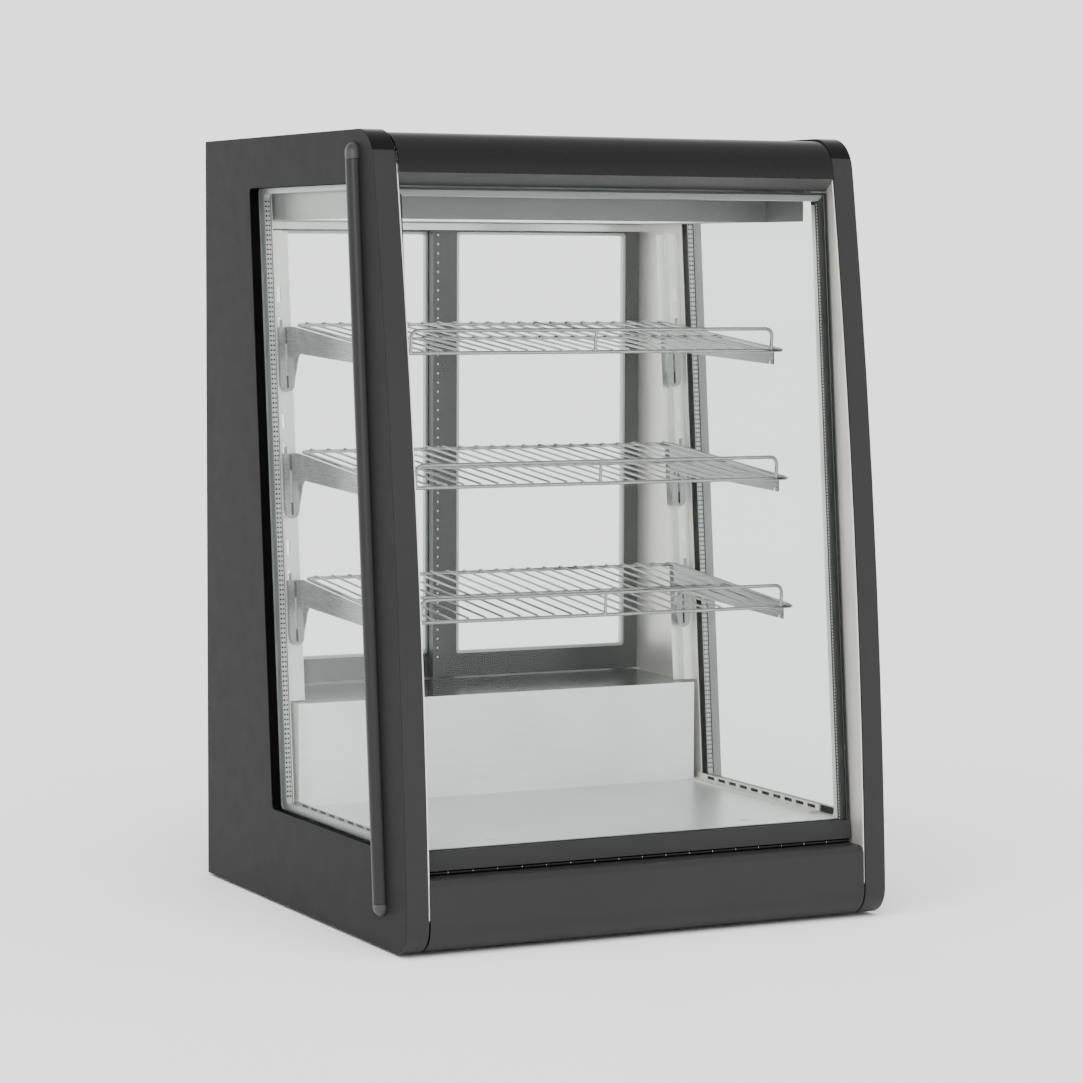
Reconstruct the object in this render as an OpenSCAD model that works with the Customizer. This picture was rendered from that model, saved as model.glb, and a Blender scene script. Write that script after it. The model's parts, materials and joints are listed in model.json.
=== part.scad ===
// Countertop bakery display case with double-glazed sides, a tilting front glass,
// three wire shelves and two sliding rear doors.
// Sizes are millimetres. +X is the case's right seen from the front, +Y runs to the rear, +Z is up.

/* [Case] */
// Width over the two side panels
case_w = 560; // [520:10:640]
// Depth from the front edge to the rear edge
case_d = 556; // [550:2:600]
// Height over the side panels
case_h = 830; // [826:2:840]
// Gap that the rubber feet leave under the case
foot_gap = 2; // [1:1:4]
// Thickness of a side panel without its inner liner
side_t = 25; // [24:1:28]
// Lean of the front glass, the window edges and the uprights, in degrees
lean = 5.3; // [4.5:0.1:5.5]
// Radius of the upper front corner
top_r = 40; // [34:1:44]
// Radius of the lower front corner
low_r = 29; // [24:1:32]

/* [Glazing] */
// Thickness of an outer pane
pane_out = 4; // [3:0.5:4]
// Thickness of the inner pane
pane_in = 3; // [3:0.5:4]
// Width of the spacer bar between the panes of a side window
side_gap = 6.5; // [6:0.5:7]
// Width of the spacer bar between the panes of the front glass
front_gap = 8; // [6:1:9]

/* [Inside] */
// Height of the deck over the resting surface
deck_z = 102; // [100:1:104]
// Height of the rear ledge over the resting surface
ledge_z = 215; // [210:1:218]
// Distance of the machine cover's front from the case front
cover_y = 366; // [362:1:370]
// Height of the canopy's lower edge
canopy_z = 741; // [738:1:744]

/* [Shelves] */
// Height of the lowest shelf's rear edge
shelf_z0 = 350.5; // [340:0.5:355]
// Distance between shelves
shelf_pitch = 138.2; // [134:0.1:140]
// Half of the shelf's width between its side rims
shelf_hw = 229; // [229:1:229]
// Depth of a shelf
shelf_d = 269; // [255:1:272]
// Height of the front guard rail over the shelf
guard_h = 23.5; // [18:0.5:28]

/* [Front glass hinge] */
// Distance of the hinge axis from the case front
hinge_y = 30.2; // [30:0.1:31]
// Height of the hinge axis
hinge_z = 80.5; // [80:0.1:81]
// Radius of a hinge knuckle
knuckle_r = 2; // [1.9:0.1:2]
// Number of hinge knuckles
knuckles = 18; // [14:2:22]

/* [Rear doors] */
// Thickness of a sliding door
door_t = 12; // [11:0.5:12]
// Height of a sliding door
door_h = 542; // [540:1:543]
// Width of the stiles where the doors meet
stile_mid = 30; // [26:1:32]
// Width of the outer stiles
stile_end = 18; // [16:1:20]

/* [Hidden] */

$fn = 48;
eps = 0.01;
half_w = case_w / 2;
skin_x = half_w - side_t;          // inner face of a side panel
liner_t = 1.5;
inner_x = skin_x - liner_t;        // inner face of a liner
tilt = tan(lean);
sheet = 1.5;                       // sheet-metal thickness

// Front edge of the side panels: a shallow forward bow
bow_slope = 0.0414;
bow_rise = 0.0668;
panel_h = case_h - foot_gap;
function bow_y(z) = let (h = z - foot_gap) bow_slope * h + bow_rise * h * h / panel_h;

// Side windows
win_z0 = 103;
win_z1 = 775;
win_rear_y = 359.5;                // rear edge at the window's foot
win_r = 5;
rebate = 8;
glass_x1 = skin_x + 0.5;           // inner face of a side window's inner pane
glass_x2 = glass_x1 + pane_in;
glass_x3 = glass_x2 + side_gap;
glass_x4 = glass_x3 + pane_out;

// Trim bars over the windows' front edges
bar_r = 10;
bar_y0 = 62;
bar_z0 = 52.5;
bar_z1 = 799;
bar_foot_z = 48;
function bar_y(z) = bar_y0 + tilt * (z - bar_z0);

// Beams
beam_top = 827;
beam_t = 2.5;
lip_y = 96;
lip_z = 773;
lip_h = 13;
beam_flange_y = 190;
low_top = 78;
low_back = hinge_y + 1.1;
low_t = 2;
low_flange_z = 58;
low_floor_y = 60;

// Rear
rear_y = 549;
door_in_y = 520;
door_out_y = 535;
door_z = ledge_z + 1;
door_edge_x = inner_x - 1.5;
header_z = 733;
header_y = 512;
canopy_y0 = 215;
canopy_y1 = 511;
canopy_x = 250;
wing_y = 136;                      // front end of the canopy's side wings
wing_top = 820;

// Front glass, in its leaning frame whose origin is the hinge axis
g_out = -2;
g_sp = g_out + pane_out;
g_in = g_sp + front_gap;
g_back = g_in + pane_out;
g_z0 = 6;
g_z1 = 692.5;
g_hw = 251;
rail_wall = 1.5;
rail_z0 = knuckle_r + 0.4;
rail_z1 = 22.5;

// Hinge
hinge_hw = 250;
knuckle_len = 2 * hinge_hw / knuckles;
knuckle_gap = 0.6;
pin_r = 1;
pin_bore_r = 1.05;

// Uprights, in their leaning frame whose origin is the foot
up_y = 384;
up_x0 = 230;
up_xm = 240;
up_x1 = inner_x - 0.1;
up_h = 517;
slot_w = 4.5;
slot_h = 16;

// Shelves and brackets
function shelf_z(k) = shelf_z0 + (k - 1) * shelf_pitch;
function shelf_y(k) = 383.4 + tilt * (shelf_z(k) - shelf_z0);
rim_r = 2;
cross_r = 1.25;
cross_pitch = 19.9;
guard_hw = 214;
guard_r = 8;
arm_x0 = 227;
arm_x1 = 239;
arm_len = 246;
foot_x0 = 230.5;
foot_x1 = 250;
foot_len = 71;

// Vent strips
vent_x0 = 239;
vent_x1 = 252.5;
vent_h = 8;
vent_base = 2;
vent_wall = 2;
vent_pitch = 25;
vent_slot = 17;

// ---------- shared helpers ----------

// Puts a part drawn with y = 0 at the case front onto the case's centre
module seated() { translate([0, -(case_d + front_y) / 2, 0]) children(); }

// Extrudes a (y, z) outline along X
module along_x(x0, x1) {
    translate([x0, 0, 0]) rotate([90, 0, 90]) linear_extrude(x1 - x0) children();
}

// A block from its two corners
module block(a, b) { translate(a) cube(b - a); }

module mirrored(right) {
    if (right) children();
    else mirror([1, 0, 0]) children();
}

function unit(v) = v / norm(v);

// Points of a round corner at b between the directions to a and c
function fillet(a, b, c, r, n = 8) =
    let (u = unit(a - b), v = unit(c - b))
    let (half = acos(u * v) / 2)
    let (m = b + unit(u + v) * r / sin(half))
    let (p = b + u * r / tan(half) - m, q = b + v * r / tan(half) - m)
    let (a0 = atan2(p.y, p.x), turn = atan2(q.y, q.x) - a0)
    let (sweep = turn > 180 ? turn - 360 : turn < -180 ? turn + 360 : turn)
    [for (i = [0:n]) m + r * [cos(a0 + sweep * i / n), sin(a0 + sweep * i / n)]];

// A closed outline with every corner rounded
function rounded(p, r, n = 6) =
    let (k = len(p))
    [for (i = [0:k - 1]) each fillet(p[(i + k - 1) % k], p[i], p[(i + 1) % k], r, n)];

// ---------- side panels ----------

// Front edge from the upper to the lower corner, moved in by t
function front_edge(t, z_top, z_low, n = 14) =
    [for (i = [0:n]) let (z = z_top + (z_low - z_top) * i / n) [bow_y(z) + t, z]];

function side_outline() =
    let (top = [bow_y(case_h), case_h], low = [0, foot_gap])
    let (top_end = fillet([case_d, case_h], top, [bow_y(case_h - 60), case_h - 60], top_r, 12))
    let (low_end = fillet([bow_y(foot_gap + 60), foot_gap + 60], low, [case_d, foot_gap], low_r, 12))
    concat([[case_d, foot_gap], [case_d, case_h]], top_end,
        front_edge(0, case_h - 50, foot_gap + 45), low_end);

front_y = min([for (p = side_outline()) p.x]);

// Window outline, grown by g on every side
function window(g, r) =
    let (z0 = win_z0 - g, z1 = win_z1 + g)
    rounded([[bar_y(z0) - g, z0], [win_rear_y + tilt * (z0 - win_z0) + g, z0],
        [win_rear_y + tilt * (z1 - win_z0) + g, z1], [bar_y(z1) - g, z1]], r);

module side_panel(right) {
    color("#454545") seated() mirrored(right) difference() {
        along_x(skin_x, half_w) polygon(side_outline());
        along_x(skin_x - 1, half_w + 1) polygon(window(0, win_r));
        along_x(skin_x - 1, glass_x4) polygon(window(rebate, win_r + rebate));
    }
}

module side_liner(right) {
    z0 = 20;
    z1 = case_h - 8;
    color("#e4e2de") seated() mirrored(right) difference() {
        along_x(inner_x, skin_x) polygon([[case_d - 6, z0], [case_d - 6, z1],
            [130, z1], for (i = [0:10]) let (z = 794 - i * 75.5) [bow_y(z) + 1.5, z], [14, z0]]);
        along_x(inner_x - 1, skin_x + 1) polygon(window(1, win_r));
    }
}

module side_glass(right) {
    color([0.82, 0.92, 0.88, 0.35]) seated() mirrored(right) {
        along_x(glass_x1, glass_x2) polygon(window(rebate - 2, win_r + rebate - 2));
        along_x(glass_x3, glass_x4) polygon(window(rebate - 2, win_r + rebate - 2));
    }
}

module side_spacers() {
    color("#b9bab8") seated() for (right = [false, true]) mirrored(right)
        along_x(glass_x2, glass_x3) difference() {
            polygon(window(rebate - 3, win_r + 6));
            polygon(window(-0.5, win_r));
        }
}

module side_gaskets() {
    color("#161616") seated() for (right = [false, true]) mirrored(right)
        along_x(glass_x1, glass_x4) difference() {
            polygon(window(rebate - 0.3, win_r + rebate - 0.3));
            polygon(window(rebate - 2, win_r + rebate - 2));
        }
}

// The bar's own frame: origin at its foot on the panel face, local Z along the bar
module on_bar() {
    translate([half_w, bar_y(bar_foot_z), bar_foot_z]) rotate([-lean, 0, 0]) children();
}

bar_len = (bar_z1 - bar_foot_z) / cos(lean);

module half_round(z0, z1) {
    intersection() {
        translate([0, 0, z0]) cylinder(r = bar_r, h = z1 - z0);
        block([0, -bar_r - 1, z0 - 1], [bar_r + 1, bar_r + 1, z1 + 1]);
    }
}

module trim_bar(right) {
    color("#4f4f4d") seated() mirrored(right) on_bar() half_round(0, bar_len);
}

// Rounded end of a trim bar: a straight stretch and a ball end
module end_cap(len) {
    half_round(0, len);
    intersection() {
        translate([0, 0, len]) sphere(r = bar_r);
        block([0, -bar_r - 1, len], [bar_r + 1, bar_r + 1, len + bar_r + 1]);
    }
}

module trim_end_caps() {
    cap_gap = 0.2;
    color("#333333") seated() for (right = [false, true]) mirrored(right) on_bar() {
        translate([0, 0, bar_len + cap_gap]) end_cap(8);
        translate([0, 0, -cap_gap]) mirror([0, 0, 1]) end_cap(2.5);
    }
}

// ---------- beams, roof and base ----------

module top_beam() {
    c = [lip_y + 24, beam_top - top_r];
    function nose(r) = [for (i = [0:12]) c + r * [-sin(i * 7.5), cos(i * 7.5)]];
    function back_nose(r) = [for (i = [0:12]) c + r * [-cos(i * 7.5), sin(i * 7.5)]];
    color("#2b2b2b") seated() along_x(-inner_x, inner_x) polygon(concat(
        [[beam_flange_y, beam_top]], nose(top_r),
        [[c.x - top_r, lip_z + lip_h], [lip_y, lip_z], [lip_y + 3, lip_z + 3],
         [c.x - top_r + beam_t, lip_z + lip_h + 1]],
        back_nose(top_r - beam_t), [[beam_flange_y, beam_top - beam_t]]));
}

module lower_beam() {
    r_top = 9;
    // Outline of the beam's outer face, moved in by t
    function face(t) =
        let (top = [bow_y(low_top) + t, low_top - t], low = [t, foot_gap + t])
        let (mid = [bow_y(45) + t, 45])
        concat(fillet([low_back, low_top - t], top, mid, r_top - t, 8),
            fillet(mid, low, [low_floor_y, foot_gap + t], low_r - t, 12));
    inner = face(low_t);
    n = len(inner);
    color("#444444") seated() along_x(-inner_x, inner_x) polygon(concat(
        [[low_back, low_flange_z], [low_back, low_top]], face(0), [[low_floor_y, foot_gap]],
        [[low_floor_y, foot_gap + low_t]], [for (i = [1:n]) inner[n - i]],
        [[low_back - low_t, low_top - low_t], [low_back - low_t, low_flange_z]]));
}

module roof_panel() {
    color("#2a2a2a") seated() {
        block([-inner_x, beam_flange_y + 0.2, beam_top - sheet], [inner_x, case_d - 4, beam_top]);
    }
}

module base_tray() {
    wall = 24;
    y0 = low_floor_y + 0.5;
    y1 = rear_y;
    z0 = foot_gap;
    color("#8f9090") seated() difference() {
        block([-inner_x, y0, z0], [inner_x, y1, z0 + wall]);
        block([-inner_x + sheet, y0 + sheet, z0 + sheet], [inner_x - sheet, y1 - sheet, z0 + wall + 1]);
        for (x = [-240, 240]) translate([x, y1 - 3, 14]) rotate([-90, 0, 0]) cylinder(r = 2.05, h = 4);
    }
}

module rubber_feet() {
    foot_r = 14;
    inset = 45;
    color("#1d1d1d") seated() for (x = [-half_w + inset, half_w - inset], y = [95, case_d - 50])
        translate([x, y, 0]) cylinder(r = foot_r, h = foot_gap);
}

module deck_plate() {
    y0 = 49.5;
    color("#d5d5d3") seated() difference() {
        union() {
            block([-inner_x, y0, deck_z - sheet], [inner_x, cover_y, deck_z]);
            block([-inner_x, y0, low_flange_z], [inner_x, y0 + sheet, deck_z]);
        }
        for (x = [-150, 150]) block([x - 6, 78, deck_z - 3], [x + 6, 82, deck_z + 1]);
        for (x = [-249, 243]) block([x, 98, deck_z - 3], [x + 6, 358, deck_z + 1]);
    }
}

module vent_strips() {
    y0 = 92;
    y1 = cover_y - 0.4;
    n = floor((y1 - y0 - 10) / vent_pitch);
    color("#e4e4e2") seated() for (right = [false, true]) mirrored(right) difference() {
        union() {
            block([vent_x0, y0, deck_z], [vent_x1, y1, deck_z + vent_base]);
            block([vent_x1 - vent_wall, y0, deck_z], [vent_x1, y1, deck_z + vent_h]);
        }
        for (i = [0:n - 1]) let (y = y0 + 8 + i * vent_pitch)
            block([vent_x1 - vent_wall - 1, y, deck_z + vent_base + 1],
                [vent_x1 + 1, y + vent_slot, deck_z + vent_h - 1.2]);
    }
}

module machine_cover() {
    hw = 246;
    y1 = door_in_y - 4;
    color("#e2e2e0") seated() {
        block([-hw, cover_y, deck_z - sheet], [hw, cover_y + sheet, ledge_z]);
        block([-hw, cover_y, ledge_z - sheet], [hw, y1, ledge_z]);
        for (x = [-hw, hw - sheet]) block([x, cover_y, deck_z - sheet], [x + sheet, y1, ledge_z]);
    }
}

inlet_x = -190;
switch_x = -130;
knob_x = -60;
ports_z = 60;
fan_x = 90;
fan_z = 105;
fan_hole_r = 54;

module rear_panel() {
    z0 = foot_gap + 1;
    z1 = 200;
    color("#3a3a3a") seated() difference() {
        block([-inner_x + 1, rear_y, z0], [inner_x - 1, rear_y + sheet, z1]);
        block([inlet_x - 14, rear_y - 1, ports_z - 12], [inlet_x + 14, rear_y + 3, ports_z + 12]);
        block([switch_x - 10, rear_y - 1, ports_z - 14], [switch_x + 10, rear_y + 3, ports_z + 14]);
        translate([knob_x, rear_y - 1, ports_z]) rotate([-90, 0, 0]) cylinder(r = 4.2, h = 4);
        for (z = [0:9]) block([fan_x - 90, rear_y - 1, 62 + z * 10], [fan_x + 90, rear_y + 3, 66 + z * 10]);
        for (x = [-240, 240], z = [14, 190])
            translate([x, rear_y - 1, z]) rotate([-90, 0, 0]) cylinder(r = 2.3, h = 4);
    }
}

module rear_panel_screws() {
    color("#bdbdbd") seated() for (x = [-240, 240], z = [14, 190])
        translate([x, rear_y, z]) rotate([-90, 0, 0]) {
            translate([0, 0, sheet + 0.02]) cylinder(r1 = 4, r2 = 3, h = 2);
            translate([0, 0, -9]) cylinder(r = 2, h = 9 + sheet + 0.1);
        }
}

// ---------- rear door surround ----------

groove_w = 4;
function door_mid(inner) = (inner ? door_in_y : door_out_y) + door_t / 2;

module rear_header() {
    color("#5d5e5e") seated() difference() {
        block([-inner_x, header_y, header_z], [inner_x, case_d - 3, beam_top - sheet]);
        block([-inner_x - 1, header_y + 1.5, header_z - 1], [inner_x + 1, case_d - 6, door_z + door_h + 4]);
        block([-inner_x - 1, header_y + 1.5, door_z + door_h + 16],
            [inner_x + 1, case_d - 6, beam_top - sheet - 3]);
        for (inner = [true, false]) let (y = door_mid(inner))
            block([-inner_x - 1, y - groove_w / 2, door_z + door_h + 3],
                [inner_x + 1, y + groove_w / 2, door_z + door_h + 12]);
    }
}

module rear_sill() {
    y0 = door_in_y - 4;
    color("#9a9b9a") seated() difference() {
        union() {
            block([-inner_x, y0, 201], [inner_x, case_d - 3, ledge_z]);
            block([-inner_x, rear_y - 3, 182], [inner_x, rear_y, 202]);
        }
        for (inner = [true, false]) let (y = door_mid(inner))
            block([-inner_x - 1, y - groove_w / 2, ledge_z - 4.3],
                [inner_x + 1, y + groove_w / 2, ledge_z + 1]);
        block([-inner_x + 3, y0 + 3, 200], [inner_x - 3, rear_y - 3, ledge_z - 9]);
        for (x = [-240, 240]) translate([x, rear_y - 4, 190]) rotate([-90, 0, 0]) cylinder(r = 2.05, h = 5);
    }
}

// A door drawn for the right half: it runs from the meeting stile to the jamb
door_x0 = -stile_mid / 2;
door_rail = 27;

module door_frame(inner) {
    y = inner ? door_in_y : door_out_y;
    glide = groove_w - 1;
    difference() {
        block([door_x0, y, door_z], [door_edge_x, y + door_t, door_z + door_h]);
        block([door_x0 + stile_mid, y - 1, door_z + door_rail],
            [door_edge_x - stile_end, y + door_t + 1, door_z + door_h - door_rail]);
        block([door_x0 + stile_mid - 6, y + door_t - 5.2, door_z + door_rail - 6],
            [door_edge_x - stile_end + 6, y + door_t - 1, door_z + door_h - door_rail + 6]);
        block([door_edge_x - 14, y + door_t - 6, 420], [door_edge_x - 4, y + door_t + 1, 520]);
    }
    for (x = [door_x0 + 12, door_edge_x - 30])
        block([x, y + door_t / 2 - glide / 2, door_z - 5], [x + 18, y + door_t / 2 + glide / 2, door_z + 1]);
    for (x = [door_x0 + 12, door_edge_x - 30])
        block([x, y + door_t / 2 - glide / 2, door_z + door_h - 1],
            [x + 18, y + door_t / 2 + glide / 2, door_z + door_h + 9]);
}

module door_glass(inner) {
    y = inner ? door_in_y : door_out_y;
    block([door_x0 + stile_mid - 5.5, y + door_t - 5, door_z + door_rail - 5.5],
        [door_edge_x - stile_end + 5.5, y + door_t - 1.2, door_z + door_h - door_rail + 5.5]);
}

module door_frame_left() { color("#4b4c4d") seated() mirrored(false) door_frame(false); }
module door_frame_right() { color("#4b4c4d") seated() door_frame(true); }
module door_glass_left() { color([0.82, 0.92, 0.88, 0.35]) seated() mirrored(false) door_glass(false); }
module door_glass_right() { color([0.82, 0.92, 0.88, 0.35]) seated() door_glass(true); }

// ---------- front glass ----------

// The glass frame: origin on the hinge axis, local Z up the glass, local Y into the case
module on_glass() { seated() translate([0, hinge_y, hinge_z]) rotate([-lean, 0, 0]) children(); }

module front_glass() {
    color([0.82, 0.92, 0.88, 0.35]) on_glass() {
        block([-g_hw, g_out, g_z0], [g_hw, g_sp, g_z1]);
        block([-g_hw, g_in, g_z0], [g_hw, g_back, g_z1]);
    }
}

module front_spacer() {
    edge = 1;
    bar = 6;
    color("#8d8f8e") on_glass() difference() {
        block([-g_hw + edge, g_sp, g_z0 + edge], [g_hw - edge, g_in, g_z1 - edge]);
        block([-g_hw + edge + bar, g_sp - 1, g_z0 + edge + bar],
            [g_hw - edge - bar, g_in + 1, g_z1 - edge - bar]);
    }
}

module front_rail() {
    color("#2c2c2c") on_glass() difference() {
        block([-g_hw - 1, g_out - rail_wall, rail_z0], [g_hw + 1, g_back + rail_wall, rail_z1]);
        block([-g_hw - 2, g_out, g_z0], [g_hw + 2, g_back, rail_z1 + 1]);
    }
}

module front_seal() {
    t = 1;
    color("#111111") on_glass() {
        block([-g_hw - t, g_out, g_z1], [g_hw + t, g_back, g_z1 + t]);
        for (x = [-g_hw - t, g_hw]) block([x, g_out, rail_z1], [x + t, g_back, g_z1]);
    }
}

module knuckle_row(first) {
    for (i = [first:2:knuckles - 1]) let (x = -hinge_hw + i * knuckle_len)
        difference() {
            translate([x + knuckle_gap / 2, 0, 0]) rotate([0, 90, 0])
                cylinder(r = knuckle_r, h = knuckle_len - knuckle_gap);
            translate([x - 1, 0, 0]) rotate([0, 90, 0]) cylinder(r = pin_bore_r, h = knuckle_len + 2);
        }
}

module hinge_leaf_fixed() {
    color("#3c3c3c") seated() translate([0, hinge_y, hinge_z]) {
        knuckle_row(0);
        block([-hinge_hw, 1.1, low_flange_z - hinge_z], [hinge_hw, 2.1, -2.8]);
        for (i = [0:2:knuckles - 1]) let (x = -hinge_hw + i * knuckle_len + knuckle_gap / 2)
            block([x, 1.1, -3], [x + knuckle_len - knuckle_gap, 2, 0]);
    }
}

module hinge_leaf_moving() {
    color("#3c3c3c") on_glass() {
        knuckle_row(1);
        block([-hinge_hw, knuckle_r + 0.8, rail_z0 - 1], [hinge_hw, g_back, rail_z0]);
        for (i = [1:2:knuckles - 1]) let (x = -hinge_hw + i * knuckle_len + knuckle_gap / 2)
            block([x, 0, 1.1], [x + knuckle_len - knuckle_gap, knuckle_r + 1, rail_z0 - 0.3]);
    }
}

module hinge_pin() {
    color("#9c9c9c") seated() translate([-hinge_hw, hinge_y, hinge_z])
        rotate([0, 90, 0]) cylinder(r = pin_r, h = 2 * hinge_hw);
}

module glass_stops() {
    color("#1b1b1b") on_glass() for (right = [false, true]) mirrored(right)
        block([inner_x - 7, g_back + 0.4, 683], [inner_x - 0.1, g_back + 8, 691.5]);
}

// ---------- shelf supports ----------

module on_upright() { seated() translate([0, up_y, ledge_z]) rotate([-lean, 0, 0]) children(); }

// Height along an upright of the hook of shelf k
function hook_z(k) = (shelf_z(k) + 8 - ledge_z) / cos(lean);

module upright(right) {
    color("#dedede") mirrored(right) on_upright() difference() {
        union() {
            block([up_x0, 3, 1.5], [up_xm + sheet, 3 + sheet, up_h]);
            block([up_xm, -5, 1.5], [up_xm + sheet, 3 + sheet, up_h]);
            block([up_xm, -5, 1.5], [up_x1, -5 + sheet, up_h]);
            block([up_x1 - sheet, -5, 1.5], [up_x1, 12, up_h]);
        }
        for (k = [1:3], up = [0, 33]) let (z = hook_z(k) + up)
            block([246 - slot_w / 2, -6, z - slot_h], [246 + slot_w / 2, -3, z]);
    }
}

// The shelf frame of shelf k: origin at its rear edge, local Y along its slope
module on_shelf(k) { seated() translate([0, shelf_y(k), shelf_z(k)]) rotate([lean, 0, 0]) children(); }

module bracket_arm() {
    top = -rim_r - 0.3;
    back = 18;
    profile = [[back, top], [-arm_len, top], [-arm_len, -11], [-arm_len + 5, -15], [-26, -30],
        [back, -30]];
    difference() {
        along_x(arm_x0, arm_x1) polygon(profile);
        along_x(arm_x0 + sheet, arm_x1 - sheet) polygon([[back + 1, top - sheet],
            [-arm_len + 1, top - sheet], [-arm_len + 1, -40], [back + 1, -40]]);
    }
}

module bracket_foot(k) {
    z1 = hook_z(k) - 10.5;
    z0 = z1 - foot_len;
    mid = (foot_x0 + foot_x1) / 2;
    r = (foot_x1 - foot_x0) / 2;
    front = -5 - sheet;
    difference() {
        union() {
            block([foot_x0, front, z0 + r], [foot_x1, -5, z1]);
            translate([mid, front, z0 + r]) rotate([-90, 0, 0]) cylinder(r = r, h = sheet);
        }
        block([mid - 1, front - 1, z0 + 18], [mid + 1, -4, z0 + 44]);
    }
    block([244.5, front, z1 - 1], [247.5, -5, hook_z(k) - 2]);
    block([244.5, -5 - eps, hook_z(k) - 10], [247.5, -1.5, hook_z(k) - 2]);
}

module bracket(k, right) {
    cut = 30;
    color("#b7b8b8") mirrored(right) {
        difference() {
            on_shelf(k) bracket_arm();
            on_upright() block([arm_x0 - 1, -5 - sheet / 2, -cut], [arm_x1 + 1, 60, up_h + cut]);
        }
        on_upright() bracket_foot(k);
    }
}

// A round wire between two points
module wire(a, b, r) {
    d = b - a;
    translate(a) rotate([0, acos(d.z / norm(d)), atan2(d.y, d.x)]) cylinder(r = r, h = norm(d), $fn = 24);
}

module wire_shelf(k) {
    front = -shelf_d;
    mid = floor(shelf_hw / cross_pitch);
    bend = guard_r;
    color("#dcdcdc") on_shelf(k) {
        for (y = [0, front]) wire([-shelf_hw, y, 0], [shelf_hw, y, 0], rim_r);
        for (x = [-shelf_hw, shelf_hw]) {
            wire([x, 0, 0], [x, front, 0], rim_r);
            for (y = [0, front]) translate([x, y, 0]) sphere(r = rim_r, $fn = 24);
        }
        wire([-shelf_hw, front / 2, -0.4], [shelf_hw, front / 2, -0.4], cross_r);
        for (i = [-mid:mid]) let (x = i * cross_pitch)
            wire([x, 0, rim_r - 0.4], [x, front, rim_r - 0.4], cross_r);
        wire([-guard_hw + bend, front, guard_h], [guard_hw - bend, front, guard_h], rim_r);
        for (s = [-1, 1]) {
            wire([s * guard_hw, front, 0], [s * guard_hw, front, guard_h - bend], rim_r);
            translate([s * (guard_hw - bend), front, guard_h - bend]) rotate([90, 0, 0])
                rotate([0, 0, s > 0 ? 0 : 90]) rotate_extrude(angle = 90) translate([bend, 0])
                circle(r = rim_r, $fn = 24);
        }
        wire([0, front, 0], [0, front, guard_h], rim_r * 0.8);
    }
}

// ---------- light canopy ----------

led_z = canopy_z + 20;

module canopy() {
    top = beam_top - sheet;
    lip = 12;
    color("#8b8c8c") seated() difference() {
        block([-canopy_x, canopy_y0, canopy_z], [canopy_x, canopy_y1, top]);
        block([-canopy_x + sheet, canopy_y0 + sheet, canopy_z + sheet],
            [canopy_x - sheet, canopy_y1 - sheet, top + 1]);
        block([-canopy_x + lip, canopy_y0 + lip, canopy_z - 1], [canopy_x - lip, canopy_y1 - lip, top]);
    }
    color("#8b8c8c") seated() block([-canopy_x + 1, 270, led_z + 1.6], [canopy_x - 1, 440, led_z + 2.8]);
    color("#8b8c8c") seated() for (right = [false, true]) mirrored(right)
        block([canopy_x - sheet, wing_y, canopy_z], [canopy_x, canopy_y0 + 1, wing_top]);
}

module light_diffuser() {
    z = canopy_z + sheet + 0.1;
    color("#fafafa") seated() block([-canopy_x + 2.5, canopy_y0 + 2.5, z],
        [canopy_x - 2.5, canopy_y1 - 2.5, z + 3]);
}

module led_board() {
    z = led_z;
    color("#f2f2ea") seated() for (y = [290, 420]) {
        block([-225, y - 9, z], [225, y + 9, z + 1.6]);
        for (x = [-216:24:216]) block([x - 1.75, y - 1.4, z - 1], [x + 1.75, y + 1.4, z]);
    }
}

module led_driver() {
    color("#cfcfcf") seated() difference() {
        block([120, 340, led_z + 2.8], [210, 375, led_z + 28.8]);
        for (x = [126, 204]) translate([x, 357.5, led_z + 2]) cylinder(r = 1.8, h = 28);
    }
}

// ---------- cooling unit ----------

module compressor() {
    r = 52;
    color("#232323") seated() translate([-130, 450, foot_gap + sheet]) {
        rotate_extrude() polygon(concat([[0, 5], [20, 5], [20, 12], [r - 8, 12], [r, 24], [r, 104]],
            [for (i = [0:8]) [r * cos(i * 11.25), 104 + 34 * sin(i * 11.25)]]));
        block([-62, -45, 3], [62, 45, 6]);
        for (x = [-52, 52], y = [-36, 36]) translate([x, y, 0]) cylinder(r = 8, h = 12);
        translate([r - 4, 0, 70]) rotate([0, 90, 0]) cylinder(r = 4, h = 14);
    }
}

module condenser() {
    hw = 62;
    color("#8a6f57") seated() translate([fan_x, 470, fan_z]) {
        for (x = [-hw, hw - 1.5]) block([x, -22, foot_gap + sheet - fan_z], [x + 1.5, 30, 70]);
        for (x = [-hw, hw - 14]) block([x, 28.5, -60], [x + 14, 30, 60]);
        for (i = [0:17]) let (z = -68 + i * 8) block([-hw, -20, z], [hw, 20, z + 0.8]);
        for (y = [-11, 11], z = [-54:18:54]) translate([-hw - 4, y, z]) rotate([0, 90, 0])
            cylinder(r = 3, h = 2 * hw + 8);
    }
}

fan_y = 500;

module fan_frame() {
    half = 60;
    color("#1e1e1e") seated() translate([fan_x, fan_y, fan_z]) {
        difference() {
            block([-half, 0, -half], [half, 25, half]);
            translate([0, -1, 0]) rotate([-90, 0, 0]) cylinder(r = fan_hole_r, h = 27, $fn = 96);
            for (x = [-52.5, 52.5], z = [-52.5, 52.5])
                translate([x, -1, z]) rotate([-90, 0, 0]) cylinder(r = 2.2, h = 27);
        }
        rotate([-90, 0, 0]) cylinder(r = 19, h = 5);
        rotate([-90, 0, 0]) cylinder(r = 2.5, h = 20);
        for (a = [0, 90, 180, 270]) rotate([0, a + 45, 0]) block([-2.5, 0, 15], [2.5, 4, fan_hole_r + 3]);
    }
}

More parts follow.
